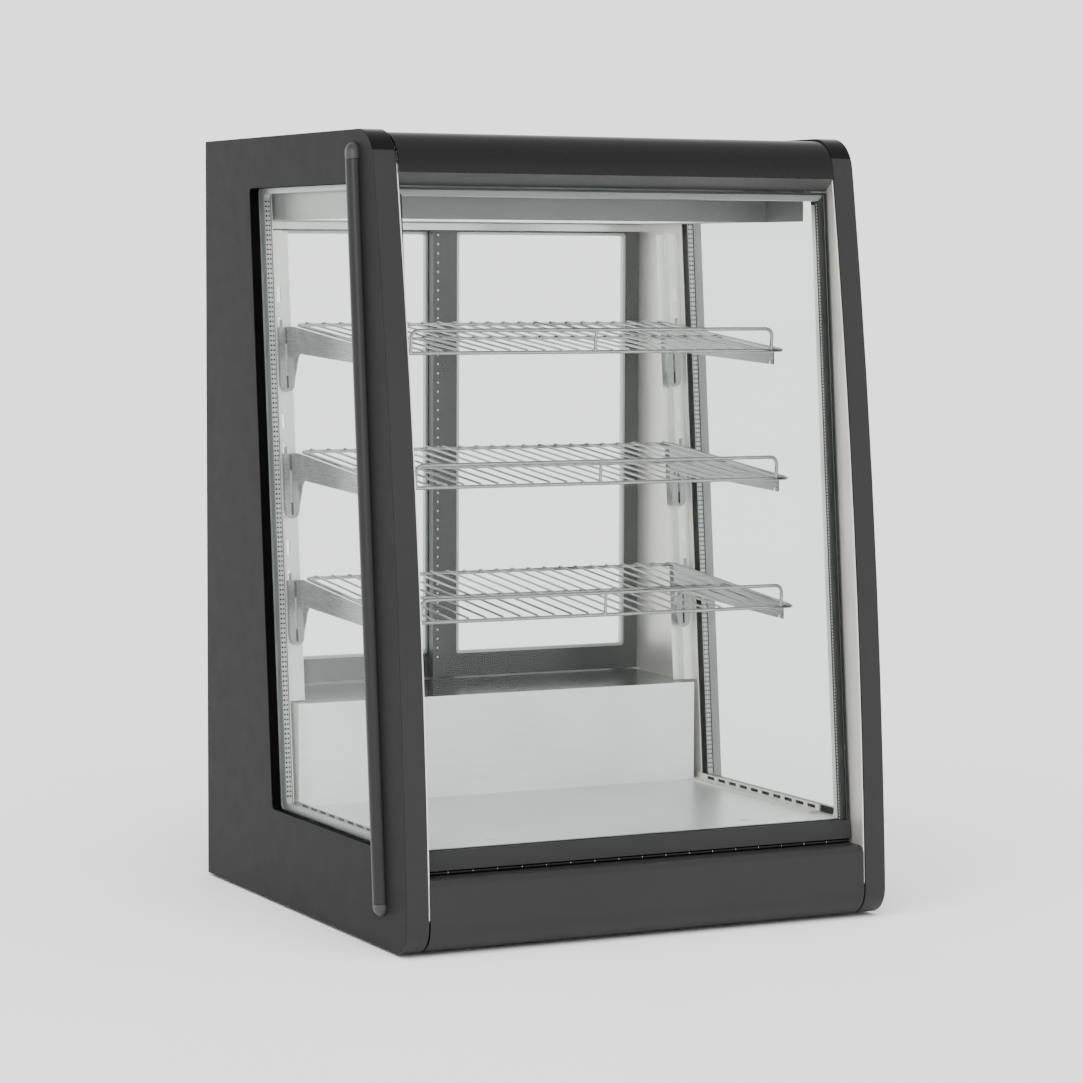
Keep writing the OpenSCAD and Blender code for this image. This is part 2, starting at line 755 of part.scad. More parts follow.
module fan_blades() {
    color("#2c2c2c") seated() translate([fan_x, fan_y, fan_z]) {
        difference() {
            translate([0, 6, 0]) rotate([-90, 0, 0]) cylinder(r = 19, h = 17);
            translate([0, 5, 0]) rotate([-90, 0, 0]) cylinder(r = 2.55, h = 16);
        }
        for (i = [0:6]) rotate([0, i * 360 / 7, 0]) translate([0, 14.5, 16]) rotate([0, 0, 35])
            block([-11, -0.8, 0], [11, 0.8, 35]);
    }
}

module evaporator() {
    color("#c3c6c8") seated() translate([0, 240, 62]) {
        for (x = [-150, 148.5]) block([x, -35, -28], [x + 1.5, 35, 28]);
        for (i = [0:24]) let (x = -144 + i * 12) block([x, -34, -27], [x + 0.6, 34, 27]);
        for (y = [-20, 0, 20], z = [-16, 4]) translate([-156, y, z]) rotate([0, 90, 0])
            cylinder(r = 4, h = 312);
        block([-150, -34, -29.5], [150, 34, -28]);
        for (x = [-140, 125], y = [-30, 20]) block([x, y, -62 + foot_gap + sheet], [x + 15, y + 10, -29]);
    }
}

// ---------- controls on the rear panel ----------

module thermostat_body() {
    color("#dedede") seated() translate([knob_x, rear_y, ports_z]) rotate([-90, 0, 0]) {
        block([-18, -18, -26], [18, 18, 0]);
        translate([0, 0, -2]) cylinder(r = 3, h = 6.8);
    }
}

module thermostat_knob() {
    color("#1a1a1a") seated() translate([knob_x, rear_y, ports_z]) rotate([-90, 0, 0]) difference() {
        union() {
            translate([0, 0, sheet + 0.4]) cylinder(r = 13, h = 2);
            translate([0, 0, sheet + 2]) cylinder(r = 11, h = 3);
            block([-1.5, 0, sheet + 2], [1.5, 11, sheet + 5.3]);
        }
        translate([0, 0, -1]) cylinder(r = 3.05, h = 6);
    }
}

module power_inlet() {
    color("#141414") seated() translate([inlet_x, rear_y, ports_z]) difference() {
        union() {
            block([-13.8, -22, -11.8], [13.8, 1, 11.8]);
            block([-16, sheet, -14], [16, sheet + 2, 14]);
            block([-13.8, 0, -11.8], [13.8, sheet + 0.1, 11.8]);
        }
        block([-11, -16, -8], [11, sheet + 3, 8]);
    }
    color("#c9b458") seated() for (x = [-7, 0, 7])
        block([inlet_x + x - 2, rear_y - 19, ports_z - (x == 0 ? 1 : 0) - 0.5],
            [inlet_x + x + 2, rear_y - 3, ports_z + (x == 0 ? 1.5 : 0.5)]);
}

module switch_body() {
    color("#161616") seated() translate([switch_x, rear_y, ports_z]) difference() {
        union() {
            block([-9.8, -20, -13.8], [9.8, sheet, 13.8]);
            block([-11.5, sheet, -15.5], [11.5, sheet + 1.6, 15.5]);
        }
        block([-7.5, -12, -11.5], [7.5, sheet + 2, 11.5]);
        translate([-9, -4, 0]) rotate([0, 90, 0]) cylinder(r = 1.55, h = 18);
    }
}

module switch_rocker() {
    // Rocker with two sloped halves, tilting on an axis along X
    color("#8e1b16") seated() translate([switch_x, rear_y - 4, ports_z]) {
        along_x(-7, 7) polygon([[-3, -9.3], [3.4, -10.3], [4.6, 0], [6.2, 9], [-3, 8.6]]);
        rotate([0, 90, 0]) translate([0, 0, -8.5]) cylinder(r = 1.5, h = 17);
    }
}

// ---------- one line per node ----------

side_panel(false);  // side_panel_left
side_panel(true);  // side_panel_right
side_liner(false);  // side_liner_left
side_liner(true);  // side_liner_right
side_glass(false);  // side_glass_left
side_glass(true);  // side_glass_right
side_spacers();
side_gaskets();
trim_bar(false);  // trim_bar_left
trim_bar(true);  // trim_bar_right
trim_end_caps();
top_beam();
lower_beam();
roof_panel();
base_tray();
rubber_feet();
deck_plate();
vent_strips();
machine_cover();
rear_panel();
rear_panel_screws();
rear_header();
rear_sill();
front_glass();
front_spacer();
front_rail();
front_seal();
hinge_leaf_fixed();
hinge_leaf_moving();
hinge_pin();
glass_stops();
upright(false);  // upright_left
upright(true);  // upright_right
bracket(1, false);  // bracket_left_1
bracket(2, false);  // bracket_left_2
bracket(3, false);  // bracket_left_3
bracket(1, true);  // bracket_right_1
bracket(2, true);  // bracket_right_2
bracket(3, true);  // bracket_right_3
wire_shelf(1);  // wire_shelf_1
wire_shelf(2);  // wire_shelf_2
wire_shelf(3);  // wire_shelf_3
canopy();
light_diffuser();
led_board();
led_driver();
door_frame_left();
door_frame_right();
door_glass_left();
door_glass_right();
compressor();
condenser();
fan_frame();
fan_blades();
evaporator();
thermostat_body();
thermostat_knob();
power_inlet();
switch_body();
switch_rocker();
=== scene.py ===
"""Bakery display case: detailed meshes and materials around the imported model."""
import json
import math
import bpy
import bmesh
from mathutils import Matrix, Vector


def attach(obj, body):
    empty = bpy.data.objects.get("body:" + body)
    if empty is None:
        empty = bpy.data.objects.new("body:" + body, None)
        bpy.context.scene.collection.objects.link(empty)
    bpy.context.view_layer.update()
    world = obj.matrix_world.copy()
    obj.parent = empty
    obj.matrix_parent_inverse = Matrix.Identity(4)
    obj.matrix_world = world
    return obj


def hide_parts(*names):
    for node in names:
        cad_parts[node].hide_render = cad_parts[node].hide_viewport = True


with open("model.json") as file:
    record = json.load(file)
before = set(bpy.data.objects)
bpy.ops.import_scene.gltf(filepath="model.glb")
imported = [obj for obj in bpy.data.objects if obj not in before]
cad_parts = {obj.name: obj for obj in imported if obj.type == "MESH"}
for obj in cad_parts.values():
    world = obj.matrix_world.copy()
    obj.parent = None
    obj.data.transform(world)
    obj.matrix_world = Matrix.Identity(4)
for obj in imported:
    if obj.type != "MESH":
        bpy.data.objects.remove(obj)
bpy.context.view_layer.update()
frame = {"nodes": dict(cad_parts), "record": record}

# Lengths are in mm, measured from the case's front, its middle and the floor
MM = 0.001
Y0 = 278.68                             # the case's front to the model's centre
LEAN = math.radians(5.3)                # lean of the front glass, uprights and windows
TILT = math.tan(LEAN)
HINGE = (30.2, 80.5)                    # y and z of the front glass's hinge
KNUCKLES = 18
HINGE_LENGTH = 500
SHELF_REAR = 383.4                      # y of the lowest shelf's rear wire
SHELF_LOW = 350.5                       # height of the lowest shelf's rear wire
SHELF_PITCH = 138.2
SHELF_HALF = 229                        # half of a shelf's width
SHELF_DEPTH = 269
WINDOW_LOW, WINDOW_HIGH = 103, 775      # heights of the side window's opening
SIDE_PANES = ((255.5, 258.5), (265, 269))
DOOR_Y = {"left": 535, "right": 520}    # inner face of each door's frame
BODY = {n: b for b, ns in frame["record"]["behaviour"]["bodies"].items() for n in ns}
SLOT = {s["node"]: s["material_slot"] for s in frame["record"]["subparts"]}


def P(x, y, z):
    """A point given in mm from the case front, in the model's metres."""
    return Vector((x * MM, (y - Y0) * MM, z * MM))


# ---------------------------------------------------------------- camera
YAW, PITCH, ROLL = (math.radians(a) for a in (26.33, -4.49, 0.21))
SENSOR = 36
LENS = 115.8548
forward = Vector((math.sin(YAW) * math.cos(PITCH), math.cos(YAW) * math.cos(PITCH), math.sin(PITCH)))
level = Vector((math.cos(YAW), -math.sin(YAW), 0))
upward = level.cross(forward)
right = level * math.cos(ROLL) + upward * math.sin(ROLL)
top = upward * math.cos(ROLL) - level * math.sin(ROLL)
camera = bpy.data.objects.new("camera", bpy.data.cameras.new("camera"))
bpy.context.scene.collection.objects.link(camera)
camera.data.sensor_width = SENSOR
camera.data.lens = LENS
camera.data.clip_end = 60
camera.matrix_world = Matrix.Translation(P(-1684.2, -3135.7, 690.3)) @ Matrix(
    (right, top, -forward)).transposed().to_4x4()
bpy.context.scene.camera = camera


# ---------------------------------------------------------------- materials
class Tree:
    """A material's node tree with short ways to add and join nodes."""

    def __init__(self, name):
        self.mat = bpy.data.materials.new(name)
        self.mat.use_nodes = True
        self.t = self.mat.node_tree
        self.t.nodes.clear()
        self.out = self.t.nodes.new("ShaderNodeOutputMaterial")
        self.where = self.t.nodes.new("ShaderNodeTexCoord").outputs["Object"]

    def add(self, kind, **values):
        node = self.t.nodes.new("ShaderNode" + kind)
        for key, value in values.items():
            if key in node.bl_rna.properties and key not in node.inputs:
                setattr(node, key, value)
            else:
                node.inputs[key.replace("_", " ")].default_value = value
        return node

    def join(self, a, b):
        self.t.links.new(a, b)

    def stretched(self, scale):
        node = self.add("Mapping")
        node.inputs["Scale"].default_value = scale
        self.join(self.where, node.inputs["Vector"])
        return node.outputs["Vector"]

    def noise(self, scale, detail=3.0, vector=None, rough=0.55):
        node = self.add("TexNoise")
        node.inputs["Scale"].default_value = scale
        node.inputs["Detail"].default_value = detail
        node.inputs["Roughness"].default_value = rough
        self.join(vector or self.where, node.inputs["Vector"])
        return node.outputs["Fac"]

    def ramp(self, fac, low, high, a=0.3, b=0.7):
        node = self.add("MapRange")
        for key, value in (("From Min", a), ("From Max", b), ("To Min", low), ("To Max", high)):
            node.inputs[key].default_value = value
        self.join(fac, node.inputs["Value"])
        return node.outputs["Result"]

    def shades(self, fac, a, b, start=0.3, stop=0.7):
        node = self.add("ValToRGB")
        node.color_ramp.elements[0].position = start
        node.color_ramp.elements[1].position = stop
        node.color_ramp.elements[0].color = (*a, 1)
        node.color_ramp.elements[1].color = (*b, 1)
        self.join(fac, node.inputs["Fac"])
        return node.outputs["Color"]

    def bump(self, height, strength, distance=0.0002):
        node = self.add("Bump")
        node.inputs["Strength"].default_value = strength
        node.inputs["Distance"].default_value = distance
        self.join(height, node.inputs["Height"])
        return node.outputs["Normal"]

    def principled(self, colour=None, rough=None, normal=None, **constants):
        node = self.add("BsdfPrincipled")
        for key, value in constants.items():
            node.inputs[key.replace("_", " ")].default_value = value
        for socket, link in (("Base Color", colour), ("Roughness", rough), ("Normal", normal)):
            if link is not None:
                self.join(link, node.inputs[socket])
        self.join(node.outputs["BSDF"], self.out.inputs["Surface"])
        return node


def tint(colour, k):
    return tuple(min(1.0, c * k) for c in colour)


def coated(name, colour, rough=0.42, coat=0.0, peel=0.12, metallic=0.0, level=0.2):
    """Powder coat: orange peel, a little unevenness and faint handling marks."""
    m = Tree(name)
    cloud = m.noise(7, 4)
    marks = m.noise(40, 4)
    m.principled(m.shades(cloud, tint(colour, 0.95), tint(colour, 1.05)),
                 m.ramp(marks, rough - 0.02, rough + 0.03),
                 m.bump(m.noise(1500, 2), peel, 0.0001),
                 Metallic=metallic, Coat_Weight=coat, Coat_Roughness=0.12, Specular_IOR_Level=level)
    return m.mat


def brushed(name, colour, rough=0.3, along="x", metallic=1.0, depth=0.12):
    """Brushed metal with its grain along one axis."""
    m = Tree(name)
    scale = {"x": (18, 1500, 1500), "y": (1500, 18, 1500), "z": (1500, 1500, 18)}[along]
    grain = m.noise(1, 4, m.stretched(scale), 0.7)
    broad = m.noise(9, 3)
    blend = m.add("Mix", data_type="FLOAT")
    blend.inputs["Factor"].default_value = 0.35
    m.join(grain, blend.inputs["A"])
    m.join(broad, blend.inputs["B"])
    mixed = blend.outputs["Result"]
    m.principled(m.shades(mixed, tint(colour, 0.86), tint(colour, 1.1), 0.35, 0.65),
                 m.ramp(grain, rough - 0.08, rough + 0.12), m.bump(grain, depth, 0.00008),
                 Metallic=metallic)
    return m.mat


def plated(name, colour, rough=0.12):
    """Bright plating with faint cloudiness."""
    m = Tree(name)
    cloud = m.noise(60, 4)
    m.principled(m.shades(cloud, tint(colour, 0.93), tint(colour, 1.04)),
                 m.ramp(cloud, rough * 0.7, rough * 1.5), m.bump(m.noise(900, 2), 0.03, 0.0001), Metallic=1.0)
    return m.mat


def spangled(name, colour, rough=0.42):
    """Zinc-coated sheet with its crystal pattern."""
    m = Tree(name)
    cells = m.add("TexVoronoi")
    cells.inputs["Scale"].default_value = 95
    m.join(m.where, cells.inputs["Vector"])
    grey = m.add("RGBToBW")
    m.join(cells.outputs["Color"], grey.inputs["Color"])
    m.principled(m.shades(grey.outputs["Val"], tint(colour, 0.84), tint(colour, 1.12)),
                 m.ramp(grey.outputs["Val"], rough - 0.1, rough + 0.12),
                 m.bump(m.noise(500, 3), 0.06), Metallic=0.9)
    return m.mat


def moulded(name, colour, rough=0.45, grain=0.15):
    """Moulded plastic or rubber with a fine grain."""
    m = Tree(name)
    cloud = m.noise(35, 4)
    m.principled(m.shades(cloud, tint(colour, 0.85), tint(colour, 1.18)),
                 m.ramp(cloud, rough - 0.08, rough + 0.1), m.bump(m.noise(1100, 3), grain, 0.0001))
    return m.mat


def clear(name, colour, gloss=0.02, power=1.0):
    """Thin float glass: see-through straight on, reflecting at a shallow angle."""
    m = Tree(name)
    through = m.add("BsdfTransparent", Color=(*colour, 1))
    smear = m.noise(14, 3)
    shine = m.add("BsdfGlossy", Color=(power, power, power, 1))
    m.join(m.ramp(smear, gloss, gloss * 2.5), shine.inputs["Roughness"])
    angle = m.add("LayerWeight")
    angle.inputs["Blend"].default_value = 0.5
    steep = m.add("Math", operation="POWER")
    steep.inputs[1].default_value = 5
    m.join(angle.outputs["Facing"], steep.inputs[0])
    mix = m.add("MixShader")
    m.join(m.ramp(steep.outputs[0], 0.004, 0.3, 0.0, 1.0), mix.inputs["Fac"])
    m.join(through.outputs["BSDF"], mix.inputs[1])
    m.join(shine.outputs["BSDF"], mix.inputs[2])
    m.join(mix.outputs["Shader"], m.out.inputs["Surface"])
    return m.mat


def glowing(name, colour, power):
    m = Tree(name)
    cloud = m.noise(25, 2)
    m.principled(m.shades(cloud, tint(colour, 0.95), colour), m.ramp(cloud, 0.4, 0.6),
                 Emission_Color=(*colour, 1), Emission_Strength=power)
    return m.mat


MATS = {
    "charcoal_paint": coated("charcoal_paint", (0.0125, 0.0125, 0.0127), 0.45, level=0.05),
    # A lighter copy of the black paint for front-facing faces: painted light
    "front_lit_paint": coated("front_lit_paint", (0.0185, 0.0185, 0.0187), 0.38),
    "corner_black": coated("corner_black", (0.003, 0.003, 0.0032), 0.24, 0.0, 0.05, 0.0, 0.15),
    # One window reveal finish in two copies: black on the left is painted shade, grey on the right is painted
    # light
    "reveal_shaded_black": coated("reveal_shaded_black", (0.002, 0.002, 0.002), 0.7, 0.0, 0.02, 0.0, 0.03),
    "reveal_lit_grey": brushed("reveal_lit_grey", (0.3, 0.3, 0.3), 0.45, "z", 0.4),
    "beam_black": coated("beam_black", (0.0085, 0.0085, 0.0087), 0.26, 0.0, 0.01, 0.0, 0.16),
    "beam_lip": coated("beam_lip", (0.05, 0.05, 0.05), 0.35, 0.0, 0.04, 0.0, 0.3),
    "bronze_anodised": coated("bronze_anodised", (0.027, 0.027, 0.027), 0.32, 0.0, 0.01, 0.6, 0.25),
    "cap_black": moulded("cap_black", (0.022, 0.022, 0.0225), 0.36, 0.06),
    "hinge_black": coated("hinge_black", (0.01, 0.01, 0.01), 0.25, 0.0, 0.03, 0.5, 0.4),
    "header_steel": brushed("header_steel", (0.6, 0.6, 0.6), 0.16, "x", 0.95),
    "ledge_steel": brushed("ledge_steel", (0.4, 0.4, 0.4), 0.14, "x", 1.0, 0.06),
    "canopy_end": brushed("canopy_end", (0.36, 0.36, 0.35), 0.32, "y", 0.85),
    "butyl_black": moulded("butyl_black", (0.006, 0.006, 0.006), 0.5, 0.1),
    "grey_silicone": moulded("grey_silicone", (0.3, 0.3, 0.3), 0.5, 0.05),
    "dark_edge": moulded("dark_edge", (0.035, 0.05, 0.045), 0.2, 0.02),
    "rear_paint": coated("rear_paint", (0.016, 0.016, 0.0165), 0.46),
    "stainless": brushed("stainless", (0.74, 0.74, 0.735), 0.3, "x"),
    "liner_steel": brushed("liner_steel", (0.82, 0.79, 0.76), 0.4, "z", 0.75),
    "upright_steel": brushed("upright_steel", (0.82, 0.82, 0.81), 0.36, "z", 0.8),
    "bracket_steel": brushed("bracket_steel", (0.27, 0.275, 0.27), 0.24, "y", 1.0),
    "chrome_wire": plated("chrome_wire", (0.36, 0.36, 0.365), 0.06),
    "clear_glass": clear("clear_glass", (0.985, 0.994, 0.989)),
    "glass_edge": moulded("glass_edge", (0.3, 0.44, 0.4), 0.16, 0.02),
    "spacer_aluminium": brushed("spacer_aluminium", (0.52, 0.53, 0.53), 0.45, "z", 0.8),
    "black_rubber": moulded("black_rubber", (0.014, 0.014, 0.014), 0.6, 0.2),
    # Flat black for holes, slits and slots: painted shade inside them
    "hole_shade_black": moulded("hole_shade_black", (0.006, 0.006, 0.006), 0.8, 0.05),
    "galvanised": spangled("galvanised", (0.52, 0.53, 0.54)),
    "screw_steel": plated("screw_steel", (0.68, 0.68, 0.68), 0.25),
    "diffuser": glowing("diffuser", (1.0, 0.99, 0.97), 0.55),
    "led_white": glowing("led_white", (1.0, 0.98, 0.92), 2.0),
    "door_aluminium": brushed("door_aluminium", (0.085, 0.085, 0.087), 0.34, "z", 0.85),
    "compressor_black": coated("compressor_black", (0.012, 0.012, 0.012), 0.2, 0.5),
    "copper_fins": brushed("copper_fins", (0.55, 0.36, 0.24), 0.4, "x"),
    "fin_aluminium": brushed("fin_aluminium", (0.74, 0.76, 0.77), 0.42, "y"),
    "black_plastic": moulded("black_plastic", (0.02, 0.02, 0.02), 0.42),
    "white_plastic": moulded("white_plastic", (0.7, 0.7, 0.68), 0.4),
    "red_plastic": moulded("red_plastic", (0.42, 0.015, 0.01), 0.22, 0.03),
    "canopy_steel": brushed("canopy_steel", (0.2, 0.2, 0.2), 0.4, "x", 0.6),
    "deck_steel": brushed("deck_steel", (0.68, 0.68, 0.685), 0.3, "x", 0.75, 0.06),
    "cover_steel": brushed("cover_steel", (0.9, 0.9, 0.9), 0.45, "x", 0.1, 0.03),
}


# ---------------------------------------------------------------- mesh helpers
def finish(bm, name, mat, body, nodes=(), angle=35.0, extra=()):
    """Turns a bmesh into a piece on a body, standing for some CAD nodes."""
    bmesh.ops.remove_doubles(bm, verts=bm.verts, dist=1e-7)
    bmesh.ops.recalc_face_normals(bm, faces=bm.faces)
    limit = math.radians(angle)
    for f in bm.faces:
        f.smooth = True
    for e in bm.edges:
        e.smooth = len(e.link_faces) == 2 and e.calc_face_angle(0) < limit
    mesh = bpy.data.meshes.new(name)
    bm.to_mesh(mesh)
    bm.free()
    for m in (mat, *extra):
        mesh.materials.append(MATS[m])
    obj = bpy.data.objects.new(name, mesh)
    bpy.context.scene.collection.objects.link(obj)
    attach(obj, body)
    if nodes:
        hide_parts(*nodes)
    even = obj.modifiers.new("even_normals", "WEIGHTED_NORMAL")
    even.keep_sharp = True
    return obj


def soften(bm, width, segments=2, angle=25.0):
    """Rounds every sharp edge."""
    sharp = [e for e in bm.edges if len(e.link_faces) == 2 and e.calc_face_angle(0) > math.radians(angle)]
    if sharp:
        bmesh.ops.bevel(bm, geom=sharp, offset=width * MM, segments=segments, profile=0.5,
                        affect="EDGES", clamp_overlap=True)


def refined(node, width=0.5, segments=2, mat=None, angle=25.0, extra=(), choose=None, cuts=()):
    """The CAD node's own shape with rounded edges, as a new piece. choose(face, centre in mm)
    numbers each face's material, and cuts are planes that part the faces first."""
    bm = bmesh.new()
    bm.from_mesh(frame["nodes"][node].data)
    bmesh.ops.remove_doubles(bm, verts=bm.verts, dist=1e-6)
    bmesh.ops.dissolve_limit(bm, angle_limit=math.radians(0.5), verts=bm.verts, edges=bm.edges)
    if width:
        soften(bm, width, segments, angle)
    for point, normal in cuts:
        bmesh.ops.bisect_plane(bm, geom=bm.verts[:] + bm.edges[:] + bm.faces[:], plane_co=P(*point),
                               plane_no=normal)
    if choose:
        for f in bm.faces:
            c = f.calc_center_median() / MM
            f.material_index = choose(f.normal, Vector((c.x, c.y + Y0, c.z)))
    return finish(bm, node + "_skin", mat or SLOT[node], BODY[node], (node,), extra=extra)


def prism(bm, points, place, a, b):
    """Extrudes an outline of (u, v) between a and b; place(u, v, w) gives the point."""
    rows = [[bm.verts.new(place(u, v, w)) for u, v in points] for w in (a, b)]
    n = len(points)
    faces = [bm.faces.new(rows[0]), bm.faces.new(rows[1][::-1])]
    for i in range(n):
        j = (i + 1) % n
        faces.append(bm.faces.new((rows[0][j], rows[0][i], rows[1][i], rows[1][j])))
    return faces


def block(bm, a, b, turn=None):
    """A box between two corners in mm, moved by turn if given."""
    place = turn or (lambda x, y, z: P(x, y, z))
    return prism(bm, [(a[0], a[1]), (b[0], a[1]), (b[0], b[1]), (a[0], b[1])],
                 lambda u, v, w: place(u, v, w), a[2], b[2])


def tube(bm, path, radius, sides=12, closed=False):
    """A round wire along points in metres."""
    pts = [Vector(p) for p in path]
    n = len(pts)
    normal = None
    rings = []
    for i in range(n):
        before = pts[i - 1] if closed or i else pts[i]
        after = pts[(i + 1) % n] if closed or i < n - 1 else pts[i]
        way = (after - before).normalized()
        if normal is None:
            normal = way.orthogonal().normalized()
        normal = (normal - way * normal.dot(way)).normalized()
        side = way.cross(normal)
        rings.append([bm.verts.new(pts[i] + radius * MM * (normal * math.cos(t) + side * math.sin(t)))
                      for t in (2 * math.pi * k / sides for k in range(sides))])
    for i in range(n if closed else n - 1):
        a, b = rings[i], rings[(i + 1) % n]
        for k in range(sides):
            j = (k + 1) % sides
            bm.faces.new((a[k], a[j], b[j], b[k]))
    if not closed:
        for ring, end, way in ((rings[0], pts[0], pts[0] - pts[1]), (rings[-1], pts[-1], pts[-1] - pts[-2])):
            tip = bm.verts.new(end + way.normalized() * radius * MM * 0.35)
            for k in range(sides):
                bm.faces.new((ring[k], ring[(k + 1) % sides], tip))


def arc(c, r, a0, a1, n=6):
    """Points (u, v) on an arc."""
    return [(c[0] + r * math.cos(math.radians(a0 + (a1 - a0) * i / n)),
             c[1] + r * math.sin(math.radians(a0 + (a1 - a0) * i / n))) for i in range(n + 1)]


def leaning(y, z, angle):
    """A frame with its origin at (y, z), turned about X by angle."""
    c, s = math.cos(angle), math.sin(angle)
    return lambda x, v, w: P(x, y + v * c - w * s, z + v * s + w * c)


def ring_band(bm, rings):
    """Closes a square-section ring between outer and inner outlines at two depths."""
    n = len(rings[0])
    for first, second in ((0, 1), (1, 3), (3, 2), (2, 0)):
        for i in range(n):
            j = (i + 1) % n
            bm.faces.new((rings[first][i], rings[first][j], rings[second][j], rings[second][i]))


def disc(bm, centre, normal, r, sides=8):
    """A small flat dot."""
    a = normal.orthogonal().normalized()
    b = normal.cross(a)
    bm.faces.new([bm.verts.new(centre + r * MM * (a * math.cos(t) + b * math.sin(t)))
                  for t in (2 * math.pi * k / sides for k in range(sides))])


on_glass = leaning(*HINGE, -LEAN)


def shelf_z(k):
    """Height of shelf k's rear wire."""
    return SHELF_LOW + (k - 1) * SHELF_PITCH


def shelf_y(k):
    """Distance of shelf k's rear wire from the case's front."""
    return SHELF_REAR + TILT * (shelf_z(k) - SHELF_LOW)


def on_shelf(k):
    return leaning(shelf_y(k), shelf_z(k), LEAN)


def bar_y(z):
    """The window's front edge, beside the trim bar, at a height."""
    return 62 + TILT * (z - 52.5)


def bow_y(z):
    """The side panel's bowed front edge at a height."""
    return 0.0414 * (z - 2) + 0.0668 * (z - 2) ** 2 / 828


def rounded(points, r, n=5):
    """A closed outline with rounded corners."""
    out = []
    k = len(points)
    for i in range(k):
        a, b, c = (Vector(points[j % k]) for j in (i - 1, i, i + 1))
        u, v = (a - b).normalized(), (c - b).normalized()
        half = u.angle(v) / 2
        mid = b + (u + v).normalized() * r / math.sin(half)
        p, q = b + u * r / math.tan(half) - mid, b + v * r / math.tan(half) - mid
        a0 = math.atan2(p.y, p.x)
        turn = (math.atan2(q.y, q.x) - a0 + math.pi) % (2 * math.pi) - math.pi
        out += [(mid.x + r * math.cos(a0 + turn * t / n), mid.y + r * math.sin(a0 + turn * t / n))
                for t in range(n + 1)]
    return out


def window(g, r):
    """The side window's outline, g larger all round, with corners of radius r."""
    z0, z1 = WINDOW_LOW - g, WINDOW_HIGH + g
    rear0, rear1 = (359.5 + TILT * (z - WINDOW_LOW) + g for z in (z0, z1))
    return rounded([(bar_y(z0) - g, z0), (rear0, z0), (rear1, z1), (bar_y(z1) - g, z1)], r)


# ---------------------------------------------------------------- panes
def pane(bm, outline, place, a, b):
    """A pane with a small arris; its rim gets the edge material."""
    c = 0.35
    cx = sum(u for u, v in outline) / len(outline)
    cy = sum(v for u, v in outline) / len(outline)

    def shrunk(d):
        return [(u - math.copysign(d, u - cx), v - math.copysign(d, v - cy)) for u, v in outline]
    rings = [[bm.verts.new(place(u, v, w)) for u, v in shrunk(d)]
             for d, w in ((c, a), (0, a + c), (0, b - c), (c, b))]
    bm.faces.new(rings[0])
    bm.faces.new(rings[3][::-1])
    n = len(outline)
    for lower, upper in zip(rings, rings[1:]):
        for i in range(n):
            j = (i + 1) % n
            bm.faces.new((lower[j], lower[i], upper[i], upper[j])).material_index = 1


for side, s in (("left", -1), ("right", 1)):
    bm = bmesh.new()
    for a, b in SIDE_PANES:
        pane(bm, window(6, 5), lambda u, v, w: P(s * w, u, v), a, b)
    finish(bm, f"side_panes_{side}", "clear_glass", "case", (f"side_glass_{side}",),
           30, ("glass_edge",))
    bm = bmesh.new()
    y = DOOR_Y[side]
    pane(bm, [(9.5, 237.5), (239.5, 237.5), (239.5, 736.5), (9.5, 736.5)],
         lambda u, v, w: P(s * u, w, v), y + 7, y + 10.8)
    finish(bm, f"door_pane_{side}", "clear_glass", f"door_{side}", (f"door_glass_{side}",),
           30, ("glass_edge",))
bm = bmesh.new()
for a, b in ((-2, 2), (10, 14)):
    pane(bm, [(-251, 6), (251, 6), (251, 692.5), (-251, 692.5)],
         lambda u, v, w: on_glass(u, w, v), a, b)
finish(bm, "front_panes", "clear_glass", "front_window", ("front_glass",), 30, ("dark_edge",))


def spacer(name, body, node, outer, inner, place, a, b, pitch=5.2, bar="spacer_aluminium",
           hole="hole_shade_black", rows=(-1.6, 1.6)):
    """Hollow spacer bar between two outlines, with its rows of breather holes."""
    bm = bmesh.new()
    rings = [[bm.verts.new(place(u, v, w)) for u, v in line]
             for w in (a + 0.05, b - 0.05) for line in (outer, inner)]
    ring_band(bm, rings)
    n = len(outer)
    mid = (a + b) / 2
    solid = finish(bm, name, bar, body, (node,) if node else ())
    # The breather holes are flat discs; black discs are painted shade
    dots = bmesh.new()
    cx = sum(u for u, v in inner) / n
    cy = sum(v for u, v in inner) / n
    for i in range(n):
        p, q = Vector(inner[i]), Vector(inner[(i + 1) % n])
        length = (q - p).length
        if length < 30:
            continue
        way = (q - p) / length
        inward = Vector((-way.y, way.x))
        if inward.dot(Vector((cx, cy)) - p) < 0:
            inward = -inward
        count = int((length - 8) / pitch)
        for k in range(count + 1):
            c = p + way * (4 + k * (length - 8) / count) + inward * 0.06
            for off in rows:
                centre = place(c.x, c.y, mid + off)
                normal = (place(c.x + inward.x, c.y + inward.y, mid + off) - centre).normalized()
                disc(dots, centre, normal, 1.2)
    finish(dots, name + "_holes", hole, body)
    return solid


for side, s, node in (("left", -1, "side_spacers"), ("right", 1, None)):
    spacer(f"side_spacer_{side}", "case", node, window(5.9, 6), window(-5.5, 4),
           lambda u, v, w: P(s * w, u, v), SIDE_PANES[0][1], SIDE_PANES[1][0])
frame_line = [(-250, 7), (250, 7), (250, 691.5), (-250, 691.5)]
inner_line = [(-244, 13), (244, 13), (244, 685.5), (-244, 685.5)]
bar = spacer("front_spacer_bar", "front_window", "front_spacer", frame_line, inner_line,
             lambda u, v, w: on_glass(u, w, v), 2, 10, 3.4, "butyl_black", "spacer_aluminium", (0.0,))
# Its top length shows bare steel
bar.data.materials.append(MATS["canopy_steel"])
for face in bar.data.polygons:
    if face.center.z > 755 * MM:
        face.material_index = 1


